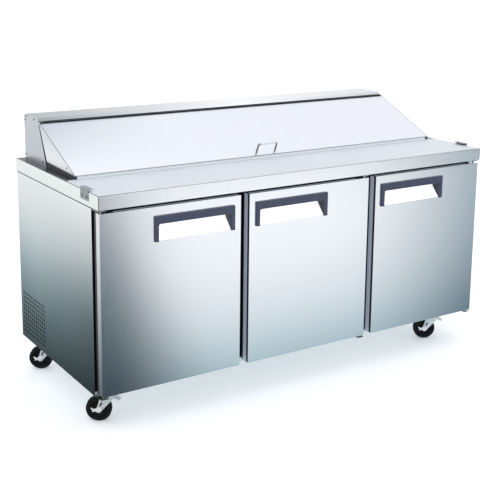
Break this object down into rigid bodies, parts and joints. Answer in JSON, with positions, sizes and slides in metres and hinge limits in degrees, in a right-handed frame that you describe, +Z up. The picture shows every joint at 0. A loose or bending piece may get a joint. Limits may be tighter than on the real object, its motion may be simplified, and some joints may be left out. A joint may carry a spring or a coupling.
{
  "type": "refrigerated sandwich prep table",
  "caption": "Long stainless under-counter fridge on casters with hinged doors, a full-length cutting board and a sloped lid over a row of food pans.",
  "frame": {"origin": "on the floor, under the centre of the table", "axes": "+X along the width to the right seen from the doors, +Y from the doors to the wall, +Z up"},
  "size_m": [1.855, 0.809, 1.077],
  "materials": {
    "stainless": "brushed stainless sheet",
    "liner_aluminium": "stucco and plain aluminium sheet",
    "galvanised": "zinc-plated steel",
    "polished_steel": "polished",
    "foam": "dark rigid foam",
    "cutting_board": "satin polyethylene",
    "handle_plastic": "blue-grey moulded plastic",
    "black_plastic": "moulded",
    "gasket_rubber": "extruded",
    "tyre": "moulded",
    "coil_fins": "pressed fins",
    "copper": "drawn copper tube",
    "black_enamel": "gloss black",
    "coated_wire": "epoxy-coated wire"
  },
  "bodies": {
    "cabinet": {"left_side_panel": "stainless", "right_side_panel": "stainless", "back_panel": "galvanised", "base_frame": "galvanised", "door_frame": "stainless", "foam_insulation": "foam", "cabinet_liner": "liner_aluminium", "compressor_bulkhead": "liner_aluminium", "worktop": "stainless", "worktop_core": "foam", "cutting_board": "cutting_board", "board_clips": "stainless", "pan_rails": "stainless", "food_pans": "stainless", "pan_collar": "black_plastic", "hood_cover": "stainless", "hood_end_panels": "stainless", "hood_lining": "liner_aluminium", "casing_screws": "polished_steel", "door_hinge_brackets": "polished_steel", "wire_shelves": "coated_wire", "shelf_clips": "coated_wire", "evaporator_coil": "coil_fins", "evaporator_cover": "liner_aluminium", "fan_motors": "polished_steel", "compressor": "black_enamel", "condenser_coil": "coil_fins", "refrigerant_lines": "copper", "control_box": "black_plastic", "caster_plates": "galvanised"},
    "lid": {"lid_shell": "stainless", "lid_core": "liner_aluminium", "lid_handle": "polished_steel"},
    "evaporator_rotor": {"evaporator_fan": "black_plastic"},
    "condenser_rotor": {"condenser_fan": "black_plastic"},
    "switch_rocker": {"power_rocker": "black_plastic"},
    "left_door": {"left_door_skin": "stainless", "left_door_liner": "black_plastic", "left_door_gasket": "gasket_rubber", "left_door_handle": "handle_plastic"},
    "middle_door": {"middle_door_skin": "stainless", "middle_door_liner": "black_plastic", "middle_door_gasket": "gasket_rubber", "middle_door_handle": "handle_plastic"},
    "right_door": {"right_door_skin": "stainless", "right_door_liner": "black_plastic", "right_door_gasket": "gasket_rubber", "right_door_handle": "handle_plastic"},
    "front_left_fork": {"front_left_caster_fork": "galvanised"},
    "front_left_roller": {"front_left_wheel": "tyre"},
    "front_left_pedal": {"front_left_brake_lever": "galvanised"},
    "rear_left_fork": {"rear_left_caster_fork": "galvanised"},
    "rear_left_roller": {"rear_left_wheel": "tyre"},
    "rear_left_pedal": {"rear_left_brake_lever": "galvanised"},
    "front_right_fork": {"front_right_caster_fork": "galvanised"},
    "front_right_roller": {"front_right_wheel": "tyre"},
    "front_right_pedal": {"front_right_brake_lever": "galvanised"},
    "rear_right_fork": {"rear_right_caster_fork": "galvanised"},
    "rear_right_roller": {"rear_right_wheel": "tyre"},
    "rear_right_pedal": {"rear_right_brake_lever": "galvanised"}
  },
  "joints": [
    {"name": "left_door_hinge", "type": "hinge", "parent": "cabinet", "child": "left_door", "pos_m": [-0.9065, -0.378, 0.487], "axis": [0, 0, -1], "range_deg": [0, 90], "stiffness_Nm_per_rad": 6, "springref_deg": -28.65},
    {"name": "middle_door_hinge", "type": "hinge", "parent": "cabinet", "child": "middle_door", "pos_m": [0.281, -0.378, 0.487], "axis": [0, 0, 1], "range_deg": [0, 90], "stiffness_Nm_per_rad": 6, "springref_deg": -28.65},
    {"name": "right_door_hinge", "type": "hinge", "parent": "cabinet", "child": "right_door", "pos_m": [0.9065, -0.378, 0.487], "axis": [0, 0, 1], "range_deg": [0, 90], "stiffness_Nm_per_rad": 6, "springref_deg": -28.65},
    {"name": "lid_hinge", "type": "hinge", "parent": "cabinet", "child": "lid", "pos_m": [0, 0.238, 1.0606], "axis": [-1, 0, 0], "range_deg": [0, 120]},
    {"name": "evaporator_fan_spin", "type": "hinge", "parent": "cabinet", "child": "evaporator_rotor", "pos_m": [0, 0.255, 0.65], "axis": [0, 1, 0], "continuous": true},
    {"name": "condenser_fan_spin", "type": "hinge", "parent": "cabinet", "child": "condenser_rotor", "pos_m": [-0.843, 0.24, 0.265], "axis": [1, 0, 0], "continuous": true},
    {"name": "switch_rock", "type": "hinge", "parent": "cabinet", "child": "switch_rocker", "pos_m": [-0.6, 0.392, 0.365], "axis": [1, 0, 0], "range_deg": [-8, 8]},
    {"name": "front_left_swivel", "type": "hinge", "parent": "cabinet", "child": "front_left_fork", "pos_m": [-0.85, -0.29, 0.115], "axis": [0, 0, 1], "continuous": true},
    {"name": "front_left_wheel_spin", "type": "hinge", "parent": "front_left_fork", "child": "front_left_roller", "pos_m": [-0.87749, -0.27174, 0.049], "axis": [0.5534, 0.8329, 0], "continuous": true},
    {"name": "front_left_brake", "type": "hinge", "parent": "front_left_fork", "child": "front_left_pedal", "pos_m": [-0.83834, -0.29775, 0.098], "axis": [0.5534, 0.8329, 0], "range_deg": [0, 12]},
    {"name": "rear_left_swivel", "type": "hinge", "parent": "cabinet", "child": "rear_left_fork", "pos_m": [-0.85, 0.29, 0.115], "axis": [0, 0, 1], "continuous": true},
    {"name": "rear_left_wheel_spin", "type": "hinge", "parent": "rear_left_fork", "child": "rear_left_roller", "pos_m": [-0.87749, 0.30826, 0.049], "axis": [0.5534, 0.8329, 0], "continuous": true},
    {"name": "rear_left_brake", "type": "hinge", "parent": "rear_left_fork", "child": "rear_left_pedal", "pos_m": [-0.83834, 0.28225, 0.098], "axis": [0.5534, 0.8329, 0], "range_deg": [0, 12]},
    {"name": "front_right_swivel", "type": "hinge", "parent": "cabinet", "child": "front_right_fork", "pos_m": [0.785, -0.29, 0.115], "axis": [0, 0, 1], "continuous": true},
    {"name": "front_right_wheel_spin", "type": "hinge", "parent": "front_right_fork", "child": "front_right_roller", "pos_m": [0.75751, -0.27174, 0.049], "axis": [0.5534, 0.8329, 0], "continuous": true},
    {"name": "front_right_brake", "type": "hinge", "parent": "front_right_fork", "child": "front_right_pedal", "pos_m": [0.79666, -0.29775, 0.098], "axis": [0.5534, 0.8329, 0], "range_deg": [0, 12]},
    {"name": "rear_right_swivel", "type": "hinge", "parent": "cabinet", "child": "rear_right_fork", "pos_m": [0.785, 0.29, 0.115], "axis": [0, 0, 1], "continuous": true},
    {"name": "rear_right_wheel_spin", "type": "hinge", "parent": "rear_right_fork", "child": "rear_right_roller", "pos_m": [0.75751, 0.30826, 0.049], "axis": [0.5534, 0.8329, 0], "continuous": true},
    {"name": "rear_right_brake", "type": "hinge", "parent": "rear_right_fork", "child": "rear_right_pedal", "pos_m": [0.79666, 0.28225, 0.098], "axis": [0.5534, 0.8329, 0], "range_deg": [0, 12]}
  ]
}
